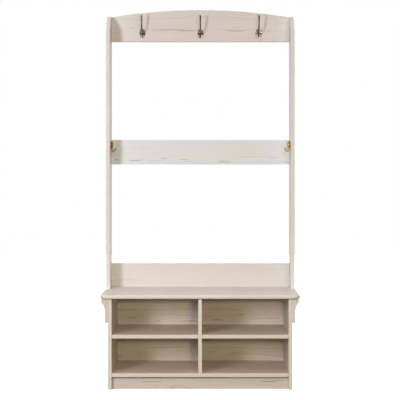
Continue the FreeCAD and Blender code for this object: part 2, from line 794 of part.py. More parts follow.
def make_cam():
    """A cam lock: a disc, slotted for a screwdriver and bored to swallow the bolt's head."""
    cam = turned("cam_pattern", [
        ("0", "0"), ("cam / 2 - ease / 2", "0"), ("cam / 2", "ease / 2"),
        ("cam / 2", "cam_deep"), ("0", "cam_deep"),
    ])
    slot = [("-cam_slot / 2", "-recess"), ("cam_slot / 2", "-recess"),
            ("cam_slot / 2", "recess"), ("-cam_slot / 2", "recess")]
    cut(cam, path(cam, "slot", "XY_Plane", slot), "up", "recess_deep")
    mouth = circles(cam, "mouth", "YZ_Plane", [("0", "board / 2")], "bolt_bore", "cam / 2")
    cut(cam, mouth, "left", "cam / 2 + bolt_head")
    return cam


def make_bolt():
    """A cam bolt: thread ahead of the joint, shank, neck and head behind it."""
    return turned("cam_bolt_pattern", [
        ("0", "-(cam_reach + bolt_neck)"),
        ("bolt_head / 2", "-(cam_reach + bolt_neck)"),
        ("bolt_head / 2", "-cam_reach"),
        ("bolt_neck / 2", "-cam_reach"),
        ("bolt_neck / 2", "bolt_head - cam_reach"),
        ("bolt / 2", "bolt_head - cam_reach"),
        ("bolt / 2", "0"),
        ("bolt_thread / 2", "0"),
        ("bolt_thread / 2", "bolt_grip"),
        ("0", "bolt_grip"),
    ])


dowel_pin = chamfered_pin("dowel_pattern", "dowel / 2", "dowel_edge", "dowel_face",
                          "dowel_chamfer")
short_dowel = chamfered_pin("short_dowel_pattern", "dowel / 2", "dowel_short", "dowel_short",
                            "dowel_chamfer")
shelf_pin = chamfered_pin("shelf_pin_pattern", "pin / 2", "pin_half", "pin_half",
                          "dowel_chamfer / 2")
wood_screw = make_wood_screw()
coat_hook_screw = make_hook_screw("coat_hook_screw_pattern", "plate_thick")
side_hook_screw = make_hook_screw("side_hook_screw_pattern", "side_plate_thick")
cam_lock = make_cam()
cam_bolt = make_bolt()
nail = turned("nail_pattern", [
    ("0", "-nail_cap"), ("nail_head / 2", "-nail_cap"), ("nail_head / 2", "0"),
    ("nail / 2", "0"), ("nail / 2", "nail_length - nail"), ("0", "nail_length"),
])


# ------------------------------------------------------------------- joints
# Every joint drills both boards and adds its fittings to the lists below.

places = {}


def place(label, pattern, spot, drive, turn):
    places.setdefault(label, []).append((pattern, spot, drive, turn))


def dowel_joint(label, first, second, direction, spots):
    """Dowels from the first board's edge into the second board's face."""
    drill(first, OPPOSITE[direction], spots, "dowel", "dowel_edge")
    drill(second, direction, spots, "dowel", "dowel_face")
    for spot in spots:
        place(f"{label}_dowels", dowel_pin, spot, direction, SQUARE_TO[direction])


def cam_joint(label, first, second, direction, cam_drive, spots):
    """Cam bolts in the second board's face, gripped by cams in the first board."""
    drill(first, OPPOSITE[direction], spots, "bolt_bore", "cam_reach")
    drill(second, direction, spots, "bolt_thread", "bolt_grip")
    seats = []
    for spot in spots:
        centre = moved(spot, OPPOSITE[direction], "cam_reach")
        seat = moved(centre, OPPOSITE[cam_drive], "board / 2")
        seats.append(seat)
        place(f"{label}_cam_bolts", cam_bolt, spot, direction, SQUARE_TO[direction])
        place(f"{label}_cam_locks", cam_lock, seat, cam_drive, direction)
    drill(first, cam_drive, seats, "cam", "cam_deep")


def screw_joint(label, outer, inner, direction, spots):
    """Countersunk screws through the outer board into the inner one."""
    drill(outer, direction, spots, "screw", "board")
    drill(inner, direction, [moved(spot, direction, "board") for spot in spots],
          "screw", "screw_length - board")
    countersink(outer, direction, spots)
    for spot in spots:
        place(label, wood_screw, spot, direction, SQUARE_TO[direction])


def countersink(body, direction, spots):
    """Open the mouths of screw holes to a right-angled cone."""
    plane, offset, centres = on_plane(body, direction, spots)
    mouths = circles(body, "mouths", plane, centres, "screw_head", offset)
    feature = cut(body, mouths, direction, "screw_sink")
    feature.TaperAngle = -45
    doc.recompute()


# --- bench cabinet
front_fitting = f"{BENCH_FRONT} + end_inset"
rear_fitting = f"{INNER_REAR} - end_inset"
fitting_rows = [front_fitting, rear_fitting]
dowel_rows = [f"{front_fitting} + pitch", f"{rear_fitting} - pitch"]
quarter_rows = ["-seat_depth / 4", "seat_depth / 4"]
plinths = {
    f"{BENCH_FRONT} + kick_setback + board / 2": plinth_front,
    f"{INNER_REAR} - board / 2": plinth_rear,
}

for name, sign in SIDES.items():
    panel = side_panels[name]
    inner_x = f"{sign}{INNER_HALF}"
    middle_x = f"{sign}(cabinet_width / 2 - board / 2)"
    bottom_z = "kick_height + board / 2"
    cam_joint("bench", bottom_panel, panel, name, "up",
              [(inner_x, y, bottom_z) for y in fitting_rows])
    dowel_joint("bench", bottom_panel, panel, name,
                [(inner_x, y, bottom_z) for y in dowel_rows])
    cam_joint("bench", panel, seat_top, "up", name,
              [(middle_x, y, BENCH_TOP) for y in fitting_rows])
    dowel_joint("bench", panel, seat_top, "up",
                [(middle_x, y, BENCH_TOP) for y in dowel_rows])
    for y, plinth in plinths.items():
        dowel_joint("bench", plinth, panel, name,
                    [(inner_x, y, f"kick_height * {part} / 3") for part in (1, 2)])

    bracket_rows = [front_fitting, "setback / 2", f"{REAR} - end_inset"]
    bracket_spots = [(f"{sign}cabinet_width / 2", y, f"{BENCH_TOP} - bracket_tall * 3 / 4")
                     for y in bracket_rows]
    drill(brackets[name], name, bracket_spots, "dowel", "dowel_short")
    drill(panel, OPPOSITE[name], bracket_spots, "dowel", "dowel_short")
    for spot in bracket_spots:
        place("bracket_dowels", short_dowel, spot, name, "up")

    pin_rows = [f"{BENCH_FRONT} + pin_inset", f"{INNER_REAR} - pin_inset"]
    pin_z = "shelf_height - board - pin / 2"
    for wall, wall_x, direction in ((panel, inner_x, name),
                                    (divider, f"{sign}board / 2", OPPOSITE[name])):
        pin_spots = [(wall_x, y, pin_z) for y in pin_rows]
        drill(wall, direction, pin_spots, "pin", "pin_half")
        for spot in pin_spots:
            place("shelf_pins", shelf_pin, spot, direction, "up")

dowel_joint("bench", divider, seat_top, "up", [("0", y, BENCH_TOP) for y in quarter_rows])
screw_joint("divider_screws", bottom_panel, divider, "up",
            [("0", y, "kick_height") for y in quarter_rows])

panel_nails = {
    divider: [("0", PANEL_REAR, f"{FLOOR_TOP} + ({BENCH_TOP} - ({FLOOR_TOP})) * {part} / 4")
              for part in (1, 2, 3)],
    bottom_panel: [(f"{INNER_HALF} * {part} / 5", PANEL_REAR, "kick_height + board / 2")
                   for part in (-4, -2, 0, 2, 4)],
}
for behind, spots in panel_nails.items():
    drill(back_panel, "front", spots, "nail", "back_sheet")
    drill(behind, "front", [moved(spot, "front", "back_sheet") for spot in spots],
          "nail", "nail_length - back_sheet")
    for spot in spots:
        place("back_panel_nails", nail, spot, "front", "up")

# --- tree
rails = {
    top_rail: ("top_rail_low", "upright_top"),
    middle_rail: ("middle_rail_low", "middle_rail_high"),
    lower_rail: ("seat_height", "lower_rail_high"),
}
for name, sign in SIDES.items():
    upright = uprights[name]
    for rail, (low, high) in rails.items():
        joint_x = f"{sign}{RAIL_HALF}"
        cam_joint("rail", rail, upright, name, "front",
                  [(joint_x, RAIL_AXIS, f"{low} + rail_inset"),
                   (joint_x, RAIL_AXIS, f"{high} - rail_inset")])
        dowel_joint("rail", rail, upright, name, [(joint_x, RAIL_AXIS, f"({low} + {high}) / 2")])
    foot_x = f"{sign}(tree_width / 2 - board / 2)"
    dowel_joint("upright", upright, seat_top, "down",
                [(foot_x, f"{UPRIGHT_FRONT} + upright_deep / 2", "seat_height")])
    screw_joint("upright_screws", seat_top, upright, "up",
                [(foot_x, f"{UPRIGHT_FRONT} + pitch", BENCH_TOP),
                 (foot_x, f"{REAR} - pitch", BENCH_TOP)])
    side_spots = side_screw_spots(sign)
    drill(upright, name, [moved(spot, name, "side_plate_thick") for spot in side_spots],
          "hook_screw", "hook_screw_grip")
    for spot in side_spots:
        place("side_hook_screws", side_hook_screw, spot, name, "up")

screw_joint("lower_rail_screws", seat_top, lower_rail, "up",
            [(x, RAIL_AXIS, BENCH_TOP) for x in hook_places.values()])
for x_place in hook_places.values():
    hook_spots = screw_spots(x_place)
    drill(top_rail, "back", [moved(spot, "back", "plate_thick") for spot in hook_spots],
          "hook_screw", "hook_screw_grip")
    for spot in hook_spots:
        place("coat_hook_screws", coat_hook_screw, spot, "back", "up")

for label, copies in places.items():
    group(label, copies)


# ----------------------------------------------------------- check and write

doc.recompute()
for item in doc.Objects:
    if "Invalid" in item.State or "Error" in item.State:
        raise RuntimeError(f"{item.Label} did not build: {item.State}")
for item in kept:
    if item.Shape.isNull() or not item.Shape.isValid():
        raise RuntimeError(f"{item.Label} has no valid shape")

os.makedirs("parts", exist_ok=True)
for item in kept:
    item.Shape.exportStep(os.path.join("parts", f"{item.Label}.step"))
    print(f"{item.Label}: {len(item.Shape.Solids)} solids, {item.Shape.Volume:.0f} mm3")
print(f"{len(kept)} nodes written")
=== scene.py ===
import math

import bmesh
import bpy
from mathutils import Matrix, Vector


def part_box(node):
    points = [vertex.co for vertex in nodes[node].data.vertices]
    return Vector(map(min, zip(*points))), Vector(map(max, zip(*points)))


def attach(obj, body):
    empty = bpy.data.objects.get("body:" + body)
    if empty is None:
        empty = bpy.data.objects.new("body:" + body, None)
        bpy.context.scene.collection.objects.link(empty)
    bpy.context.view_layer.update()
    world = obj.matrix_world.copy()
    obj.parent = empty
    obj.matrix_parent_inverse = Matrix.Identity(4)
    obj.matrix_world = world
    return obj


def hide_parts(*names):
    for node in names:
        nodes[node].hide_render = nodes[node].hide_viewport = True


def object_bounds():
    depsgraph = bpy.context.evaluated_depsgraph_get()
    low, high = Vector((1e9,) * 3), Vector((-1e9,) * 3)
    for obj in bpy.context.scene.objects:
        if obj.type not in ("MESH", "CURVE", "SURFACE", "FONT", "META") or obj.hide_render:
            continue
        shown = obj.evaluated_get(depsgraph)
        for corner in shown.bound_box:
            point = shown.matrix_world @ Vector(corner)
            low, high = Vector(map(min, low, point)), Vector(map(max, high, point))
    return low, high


# The looks of a hall tree with hooks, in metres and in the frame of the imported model:
# X to the right, Y to the back, Z up, the origin on the floor under the middle.

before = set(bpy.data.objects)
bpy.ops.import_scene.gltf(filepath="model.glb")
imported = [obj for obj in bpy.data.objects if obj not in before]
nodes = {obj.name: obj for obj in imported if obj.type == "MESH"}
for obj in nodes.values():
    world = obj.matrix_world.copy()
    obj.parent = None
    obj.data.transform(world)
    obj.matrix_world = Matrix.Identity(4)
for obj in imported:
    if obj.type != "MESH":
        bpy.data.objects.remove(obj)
cad_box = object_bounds()
X, Y, Z = range(3)


# ------------------------------------------------------------------ node helpers

def add(tree, kind, inputs=None, **settings):
    """A shader node. An input is a value, or the output of another node."""
    node = tree.nodes.new("ShaderNode" + kind)
    for name, setting in settings.items():
        setattr(node, name, setting)
    for name, given in (inputs or {}).items():
        if isinstance(given, bpy.types.NodeSocket):
            tree.links.new(given, node.inputs[name])
        else:
            node.inputs[name].default_value = given
    return node


def maths(tree, operation, *given):
    """The result of one Math node on numbers or sockets."""
    return add(tree, "Math", dict(enumerate(given)), operation=operation).outputs[0]


def vectors(tree, operation, *given):
    """The result of one Vector Math node."""
    node = add(tree, "VectorMath", dict(enumerate(given)), operation=operation)
    return node.outputs["Value" if operation in ("LENGTH", "DOT_PRODUCT") else "Vector"]


def all_axes(tree, given):
    """A vector with the same number on all three axes."""
    return add(tree, "CombineXYZ", dict.fromkeys("XYZ", given)).outputs[0]


def axes_of(tree, vector):
    """The X, Y and Z outputs of a vector."""
    return add(tree, "SeparateXYZ", {"Vector": vector}).outputs


def remap(tree, given, low, high, to_low=0.0, to_high=1.0):
    """Moves low..high to to_low..to_high, smoothly and clamped."""
    inputs = {"Value": given, "From Min": low, "From Max": high,
              "To Min": to_low, "To Max": to_high}
    return add(tree, "MapRange", inputs, interpolation_type="SMOOTHSTEP").outputs["Result"]


def noise(tree, place, scale, detail=2.0, roughness=0.5):
    """Noise from 0 to 1, with a scale for each axis in features per metre."""
    stretched = vectors(tree, "MULTIPLY", place, scale)
    inputs = {"Vector": stretched, "Scale": 1.0, "Detail": detail, "Roughness": roughness}
    return add(tree, "TexNoise", inputs).outputs["Fac"]


def mixed(tree, share, first, second):
    """Colour first, or second where share is 1."""
    node = add(tree, "Mix", data_type="RGBA")
    for socket, given in ((node.inputs[0], share), (node.inputs[6], first),
                          (node.inputs[7], second)):
        if isinstance(given, bpy.types.NodeSocket):
            tree.links.new(given, socket)
        else:
            socket.default_value = given if isinstance(given, float) else (*given, 1.0)
    return node.outputs[2]


def edge_mask(tree, radius):
    """1 on the rounded edges of a piece and 0 on its faces."""
    rounded = add(tree, "Bevel", {"Radius": radius}, samples=6).outputs["Normal"]
    plain = add(tree, "NewGeometry").outputs["Normal"]
    apart = vectors(tree, "LENGTH", vectors(tree, "SUBTRACT", rounded, plain))
    return remap(tree, apart, 0.05, 0.45)


def new_material(name):
    """A material with its tree, its Principled node and the object's own coordinates."""
    material = bpy.data.materials.new(name)
    material.use_nodes = True
    tree = material.node_tree
    shader = tree.nodes["Principled BSDF"]
    place = add(tree, "TexCoord").outputs["Object"]
    return material, tree, shader, place


def finish_material(tree, shader, colour, roughness, height, depth):
    """Links colour and roughness, and a height that is depth metres tall."""
    tree.links.new(colour, shader.inputs["Base Color"])
    tree.links.new(roughness, shader.inputs["Roughness"])
    bump = add(tree, "Bump", {"Height": height, "Strength": 1.0, "Distance": depth})
    tree.links.new(bump.outputs["Normal"], shader.inputs["Normal"])


# --------------------------------------------------------------------- laminate

PAINT = (0.80, 0.785, 0.755)
PAINT_WARM = (0.785, 0.74, 0.69)
PAINT_COOL = (0.745, 0.745, 0.735)
WHITER = (0.85, 0.90, 0.96)
GREYER = (0.70, 0.72, 0.74)
# a warmer, pinker paint that is painted shade: the warm tone of the shade inside the cubbies
PAINTED_SHADE_PINK = (0.86, 0.745, 0.66)
EDGE_BAND = (0.84, 0.845, 0.835)
GRAIN_TINT = (0.56, 0.475, 0.385)
CRACK_BROWN = (0.34, 0.19, 0.085)
WORN_EDGE = (0.50, 0.42, 0.33)
FIBRE_DARK = (0.20, 0.115, 0.055)
FIBRE_LIGHT = (0.33, 0.205, 0.11)
FIBRE_FELTED = (0.16, 0.09, 0.045)
FIBRE_SCALE = 260.0
FELT_SCALE = 25.0

# a tint of paint: its colour and the share of it; the pinker tint is painted shade, the warm tone of
# the shade inside the cubbies
PLAIN = (WHITER, 0.0)
INSIDE_PAINTED_SHADE = (PAINTED_SHADE_PINK, 0.8)

# patterns of the print: features per metre along the grain and across it
WANDER = (1.9, 10.0)
PORES = (16.0, 750.0)
BANDS = (1.3, 36.0)
COVER = (3.2, 15.0)
WAVE = (22.0, 4.0)
RINGS_PER_METRE = 190.0
PITH_MIDDLE = 0.05
PITH_SPREAD = 0.03
GOLDEN_ANGLE = 2.4
SEED_STEPS = (1.37, 0.71, 2.13)
SWAY_WIDTH = 0.06  # how far the flowing grain wanders, in metres
WAVE_HEIGHT = 0.006  # how far the placed cracks waver, in metres

CRACK_SHARE = 0.72
BAND_SHARE = 0.85
RUB_RADIUS = 0.0016
RUB_SCALE = 60.0
RELIEF_DEPTH = 0.00022
SATIN = 0.52
SPECULAR = 0.42
INSIDE_CONTRAST = 1.8
BACK_CONTRAST = 2.2


def stretch(grain, along, across):
    """A scale for each axis: along the grain axis, and across it."""
    scale = [across] * 3
    scale[grain] = along
    return scale


def random_cracks(tree, place, grain):
    """Short thin cracks, few and far between, that follow the grain."""
    length, height = 0.045, 0.0011
    radius = 0.13
    share_without = 0.986
    per_metre = stretch(grain, radius / length, radius / height)
    stretched = vectors(tree, "MULTIPLY", place, per_metre)
    cells = add(tree, "TexVoronoi", {"Vector": stretched, "Scale": 1.0, "Randomness": 1.0})
    chance = add(tree, "SeparateColor", {"Color": cells.outputs["Color"]}).outputs[0]
    chosen = maths(tree, "GREATER_THAN", chance, share_without)
    near = remap(tree, cells.outputs["Distance"], radius, 0.0)
    return maths(tree, "MULTIPLY", near, chosen)


def placed_crack(tree, along, across, spot):
    """One crack in the printed grain: a thin line that narrows to its ends, which may rise."""
    middle, level, half_length, rise, half_height, strength = spot
    share = maths(tree, "DIVIDE", maths(tree, "SUBTRACT", along, middle), half_length)
    square = maths(tree, "MULTIPLY", share, share)
    bend = maths(tree, "MULTIPLY_ADD", square, rise, level)
    away = maths(tree, "ABSOLUTE", maths(tree, "SUBTRACT", across, bend))
    body = maths(tree, "MAXIMUM", maths(tree, "SUBTRACT", 1.0, square), 0.0)
    room = maths(tree, "MULTIPLY_ADD", body, half_height, 1e-6)
    return remap(tree, maths(tree, "DIVIDE", away, room), 1.0, 0.2, 0.0, strength)


def growth_rings(tree, place, grain, seed, sway):
    """Late wood from 0 to 1: rings about a pith along the grain, cut by the board's face."""
    pith = [PITH_MIDDLE + PITH_SPREAD * math.sin(seed * GOLDEN_ANGLE)] * 3
    pith[grain] = 0.0
    from_pith = vectors(tree, "SUBTRACT", place, pith)
    radial = vectors(tree, "MULTIPLY", from_pith, stretch(grain, 0, 1))
    ring_place = maths(tree, "ADD", vectors(tree, "LENGTH", radial), sway)
    inputs = {"W": maths(tree, "MULTIPLY", ring_place, RINGS_PER_METRE),
              "Scale": 1.0, "Detail": 3.0}
    rings = add(tree, "TexNoise", inputs, noise_dimensions="1D").outputs["Fac"]
    return remap(tree, rings, 0.52, 0.72)


def all_cracks(tree, place, moved, swayed, grain, cracks):
    """The random cracks of a board and its placed ones, from 0 to 1."""
    dark = random_cracks(tree, swayed, grain)
    axes = axes_of(tree, place)
    wave = noise(tree, moved, stretch(grain, *WAVE), 1.0)
    wavering = maths(tree, "MULTIPLY_ADD", wave, WAVE_HEIGHT, -WAVE_HEIGHT / 2)
    across = maths(tree, "ADD", axes[Z], wavering)
    for spot in cracks:
        dark = maths(tree, "MAXIMUM", dark, placed_crack(tree, axes[grain], across, spot))
    return dark


def whitewash(tree, bands, cover, tint_and_shade, banded):
    """The paint: warm and cool clouds, a tint for each board (painted shade on the cubby boards and the
    lower rail) and the paler edge band.
    """
    tint_and_shade_paint, tint_and_shade_share = tint_and_shade
    colour = mixed(tree, remap(tree, bands, 0.35, 0.65), PAINT, PAINT_WARM)
    colour = mixed(tree, remap(tree, cover, 0.5, 0.25, 0.0, 0.6), colour, PAINT_COOL)
    # each board's tint; on the cubby boards and the lower rail it is painted shade
    colour = mixed(tree, tint_and_shade_share, colour, tint_and_shade_paint)
    if banded:
        facing = axes_of(tree, add(tree, "TexCoord").outputs["Normal"])[Y]
        front = remap(tree, facing, -0.5, -0.9, 0.0, BAND_SHARE)
        colour = mixed(tree, front, colour, EDGE_BAND)
    return colour


def laminate(name, grain, seed, contrast=1.0, tint_and_shade=PLAIN, banded=False, cracks=()):
    """Whitewashed wood laminate: flowing printed grain under thin paint, with cracks.

    A banded board has a paler strip glued on its front edge. Placed cracks are for boards
    with their grain along X.
    """
    material, tree, shader, place = new_material(name)
    moved = vectors(tree, "ADD", place, [seed * step for step in SEED_STEPS])
    wander = noise(tree, moved, stretch(grain, *WANDER), 2.0)
    sway = maths(tree, "MULTIPLY_ADD", wander, SWAY_WIDTH, -SWAY_WIDTH / 2)
    swayed = vectors(tree, "ADD", moved, all_axes(tree, sway))

    late_wood = growth_rings(tree, place, grain, seed, sway)
    pores = noise(tree, swayed, stretch(grain, *PORES), 3.0, 0.6)
    bands = noise(tree, swayed, stretch(grain, *BANDS), 2.0)
    cover = noise(tree, moved, stretch(grain, *COVER), 2.0)
    thin_paint = remap(tree, cover, 0.42, 0.70)
    dark = all_cracks(tree, place, moved, swayed, grain, cracks)

    # the grain shows through where the paint is thin
    bare = maths(tree, "MULTIPLY_ADD", thin_paint, 0.26 * contrast, 0.07 * contrast)
    shown = maths(tree, "MULTIPLY", late_wood, bare)
    streaks = remap(tree, pores, 0.56, 0.78, 0.0, 0.22 * contrast)
    colour = whitewash(tree, bands, cover, tint_and_shade, banded)
    colour = mixed(tree, maths(tree, "MAXIMUM", shown, streaks), colour, GRAIN_TINT)
    colour = mixed(tree, maths(tree, "MULTIPLY", dark, CRACK_SHARE), colour, CRACK_BROWN)

    # the print is rubbed thin along the edges of the board
    rub = noise(tree, moved, [RUB_SCALE] * 3, 3.0)
    rubbed = remap(tree, rub, 0.45, 0.75, 0.04, 0.26)
    worn = maths(tree, "MULTIPLY", edge_mask(tree, RUB_RADIUS), rubbed)
    colour = mixed(tree, worn, colour, WORN_EDGE)

    gloss = maths(tree, "MULTIPLY_ADD", late_wood, -0.05, SATIN)
    gloss = maths(tree, "MULTIPLY_ADD", pores, 0.14, maths(tree, "SUBTRACT", gloss, 0.05))
    relief = maths(tree, "SUBTRACT", maths(tree, "MULTIPLY", pores, -0.5), dark)
    relief = maths(tree, "MULTIPLY_ADD", late_wood, -0.3, relief)
    finish_material(tree, shader, colour, gloss, relief, RELIEF_DEPTH)
    shader.inputs["Specular IOR Level"].default_value = SPECULAR
    return material


def hardboard(name, seed, cracks):
    """The thin back: printed like the boards in front, bare brown fibre behind."""
    printed = laminate(name, X, seed, contrast=BACK_CONTRAST, cracks=cracks)
    tree = printed.node_tree
    shader = tree.nodes["Principled BSDF"]
    spot = add(tree, "TexCoord")
    towards = axes_of(tree, spot.outputs["Normal"])[Y]
    behind = maths(tree, "GREATER_THAN", towards, 0.5)
    fibre = noise(tree, spot.outputs["Object"], [FIBRE_SCALE] * 3, 5.0, 0.7)
    felted = noise(tree, spot.outputs["Object"], [FELT_SCALE] * 3, 3.0)
    brown = mixed(tree, remap(tree, fibre, 0.3, 0.7), FIBRE_DARK, FIBRE_LIGHT)
    brown = mixed(tree, remap(tree, felted, 0.4, 0.7, 0.0, 0.35), brown, FIBRE_FELTED)
    front = shader.inputs["Base Color"].links[0].from_socket
    tree.links.new(mixed(tree, behind, front, brown), shader.inputs["Base Color"])
    return printed


# ----------------------------------------------------------------------- metals

METALS = {  # bright, dull and worn colour, roughness, polishing marks per metre
    "dark_nickel": ((0.46, 0.43, 0.40), (0.20, 0.18, 0.165), (0.68, 0.66, 0.63), 0.27, 900.0),
    "dark_screw": ((0.075, 0.07, 0.066), (0.04, 0.037, 0.035), (0.22, 0.21, 0.20), 0.38, 900.0),
    "polished_brass": ((0.70, 0.46, 0.17), (0.42, 0.24, 0.07), (0.90, 0.70, 0.38), 0.30, 700.0),
    "zinc_hardware": ((0.58, 0.58, 0.57), (0.42, 0.42, 0.41), (0.78, 0.78, 0.77), 0.38, 600.0),
}
TARNISH_SCALE = 110.0
METAL_EDGE = 0.0009
METAL_RELIEF = 0.00002

BEECH_DARK = (0.62, 0.42, 0.24)
BEECH_LIGHT = (0.70, 0.50, 0.31)
BEECH_FLECK = (0.30, 0.17, 0.08)
FLECK_SCALE = 420.0
TONE_SCALE = 30.0
BEECH_RELIEF = 0.0001


def metal(name, bright, dull, worn, roughness, marks_scale):
    """A plated finish: tarnish in soft clouds, fine polishing marks, bright worn edges."""
    material, tree, shader, place = new_material(name)
    clouds = noise(tree, place, [TARNISH_SCALE] * 3, 4.0, 0.6)
    marks = noise(tree, place, (marks_scale, marks_scale, marks_scale / 12), 2.0)
    edges = edge_mask(tree, METAL_EDGE)
    colour = mixed(tree, remap(tree, clouds, 0.35, 0.7), bright, dull)
    colour = mixed(tree, maths(tree, "MULTIPLY", edges, 0.5), colour, worn)
    gloss = maths(tree, "MULTIPLY_ADD", clouds, 0.22, roughness - 0.11)
    gloss = maths(tree, "MULTIPLY_ADD", marks, 0.06, gloss)
    shader.inputs["Metallic"].default_value = 1.0
    finish_material(tree, shader, colour, gloss, marks, METAL_RELIEF)
    return material


def beech(name):
    """Fluted-dowel beech: pale wood with short dark flecks along its length."""
    material, tree, shader, place = new_material(name)
    flecks = noise(tree, place, [FLECK_SCALE] * 3, 3.0, 0.6)
    tone = noise(tree, place, [TONE_SCALE] * 3, 2.0)
    colour = mixed(tree, remap(tree, tone, 0.35, 0.65), BEECH_DARK, BEECH_LIGHT)
    colour = mixed(tree, remap(tree, flecks, 0.60, 0.72, 0.0, 0.6), colour, BEECH_FLECK)
    gloss = maths(tree, "MULTIPLY_ADD", flecks, 0.2, 0.5)
    finish_material(tree, shader, colour, gloss, flecks, BEECH_RELIEF)
    return material


# ------------------------------------------------------- finishes of the CAD nodes
# A crack: its middle along X, its height above the floor, half length, rise of its ends,
# half height, strength.

top_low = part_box("top_rail")[0].z
middle_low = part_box("middle_rail")[0].z
lower_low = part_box("lower_rail")[0].z
shelf_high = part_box("shelf_left")[1].z

TOP_CRACKS = [
    (-0.345, top_low + 0.070, 0.024, 0.000, 0.0018, 0.9),
    (-0.170, top_low + 0.0600, 0.100, 0.001, 0.0020, 0.9),
    (-0.068, top_low + 0.0553, 0.058, 0.002, 0.0026, 1.0),
    (0.175, top_low + 0.0535, 0.050, 0.003, 0.0024, 1.0),
    (0.175, top_low + 0.0545, 0.095, 0.016, 0.0020, 0.5),
    (0.335, top_low + 0.0520, 0.060, 0.006, 0.0014, 0.5),
]
MIDDLE_CRACKS = [
    (-0.420, middle_low + 0.024, 0.020, -0.006, 0.0022, 1.0),
    (-0.325, middle_low + 0.018, 0.045, 0.009, 0.0024, 1.0),
    (-0.235, middle_low + 0.019, 0.045, 0.001, 0.0012, 0.5),
    (-0.185, middle_low + 0.030, 0.018, 0.000, 0.0026, 0.8),
    (-0.085, middle_low + 0.024, 0.032, -0.001, 0.0020, 0.6),
    (-0.068, middle_low + 0.014, 0.020, 0.000, 0.0018, 0.5),
    (0.125, middle_low + 0.013, 0.040, -0.003, 0.0022, 0.9),
    (0.225, middle_low + 0.012, 0.060, 0.001, 0.0012, 0.4),
    (0.362, middle_low + 0.032, 0.024, 0.002, 0.0018, 0.6),
    (0.425, middle_low + 0.014, 0.025, -0.002, 0.0018, 0.6),
]
PLINTH_CRACKS = [
    (-0.228, 0.0345, 0.055, 0.000, 0.0020, 1.0),
    (0.322, 0.0350, 0.048, 0.002, 0.0024, 1.0),
    (0.390, 0.0400, 0.040, -0.001, 0.0018, 0.8),
]
BACK_CRACKS = [
    (-0.375, shelf_high + 0.074, 0.070, 0.001, 0.0020, 1.0),
    (-0.280, shelf_high + 0.073, 0.140, 0.000, 0.0012, 0.6),
    (-0.090, shelf_high + 0.078, 0.080, 0.001, 0.0015, 0.6),
    (-0.340, shelf_high + 0.032, 0.028, 0.000, 0.0030, 0.8),
    (-0.215, shelf_high + 0.018, 0.020, -0.001, 0.0028, 0.6),
    (-0.050, shelf_high + 0.018, 0.045, 0.000, 0.0018, 0.9),
    (0.085, shelf_high + 0.078, 0.070, 0.000, 0.0016, 0.6),
    (0.205, shelf_high + 0.048, 0.024, -0.001, 0.0030, 0.8),
    (0.085, shelf_high + 0.022, 0.036, 0.000, 0.0026, 1.0),
    (0.290, shelf_high + 0.029, 0.110, 0.001, 0.0013, 0.6),
    (0.370, shelf_high + 0.030, 0.034, 0.001, 0.0022, 0.8),
    (-0.240, shelf_high - 0.070, 0.070, 0.001, 0.0012, 0.4),
    (0.150, shelf_high - 0.060, 0.080, 0.001, 0.0012, 0.4),
]

BOARDS = {  # grain axis, tint of paint and its share (painted shade on the cubby boards and the lower rail), whether the front is banded, cracks
    "seat_top": (X, (WHITER, 0.15), True, ()),
    # the side panels take a quarter share of the pinker painted shade
    "side_panel_left": (Z, (PAINTED_SHADE_PINK, 0.25), True, ()),
    "side_panel_right": (Z, (PAINTED_SHADE_PINK, 0.25), True, ()),
    "seat_bracket_left": (Y, (GREYER, 0.5), False, ()),
    "seat_bracket_right": (Y, (WHITER, 0.3), False, ()),
    # the divider, the shelves and the bottom take most of the pinker painted shade of the cubbies
    "center_divider": (Z, INSIDE_PAINTED_SHADE, True, ()),
    "shelf_left": (X, INSIDE_PAINTED_SHADE, True, ()),
    "shelf_right": (X, INSIDE_PAINTED_SHADE, True, ()),
    "bottom_panel": (X, INSIDE_PAINTED_SHADE, True, ()),
    "plinth_front": (X, PLAIN, False, PLINTH_CRACKS),
    "plinth_rear": (X, PLAIN, False, ()),
    "upright_left": (Z, (WHITER, 0.75), True, ()),
    "upright_right": (Z, (WHITER, 0.80), True, ()),
    "top_rail": (X, (WHITER, 0.35), False, TOP_CRACKS),
    "middle_rail": (X, (WHITER, 0.85), False, MIDDLE_CRACKS),
    # the lower rail takes a large share of the greyer paint as painted shade, darker against the light
    # the seat bounces onto it
    "lower_rail": (X, (GREYER, 0.7), False, ()),
}


def finish_node(name, material):
    """Gives every material slot of a CAD node the same material."""
    for slot in nodes[name].material_slots:
        slot.material = material


for seed, (board, (grain, tint_and_shade, banded, cracks)) in enumerate(BOARDS.items(), start=1):
    contrast = INSIDE_CONTRAST if tint_and_shade == INSIDE_PAINTED_SHADE else 1.0
    made = laminate(f"laminate_{board}", grain, seed, contrast, tint_and_shade, banded, cracks)
    finish_node(board, made)
finish_node("back_panel", hardboard("printed_hardboard", len(BOARDS) + 1, BACK_CRACKS))

finishes = {name: metal(name, *look) for name, look in METALS.items()}
finishes["beech_dowel"] = beech("beech_dowel")

FASTENERS = {
    "coat_hook_screws": "dark_screw",
    "side_hook_screws": "polished_brass",
    "bench_cam_bolts": "zinc_hardware",
    "bench_cam_locks": "zinc_hardware",
    "rail_cam_bolts": "zinc_hardware",
    "rail_cam_locks": "zinc_hardware",
    "shelf_pins": "zinc_hardware",
    "divider_screws": "zinc_hardware",
    "back_panel_nails": "zinc_hardware",
    "upright_screws": "zinc_hardware",
    "lower_rail_screws": "zinc_hardware",
    "bench_dowels": "beech_dowel",
    "bracket_dowels": "beech_dowel",
    "rail_dowels": "beech_dowel",
    "upright_dowels": "beech_dowel",
}
for fastener, finish in FASTENERS.items():
    finish_node(fastener, finishes[finish])


# ------------------------------------------------------------------------ hooks
# A hook is made in its own axes: u sideways along the board, v out from it, w up.
# Its parts overlap, and a fine remesh melts them into one casting.

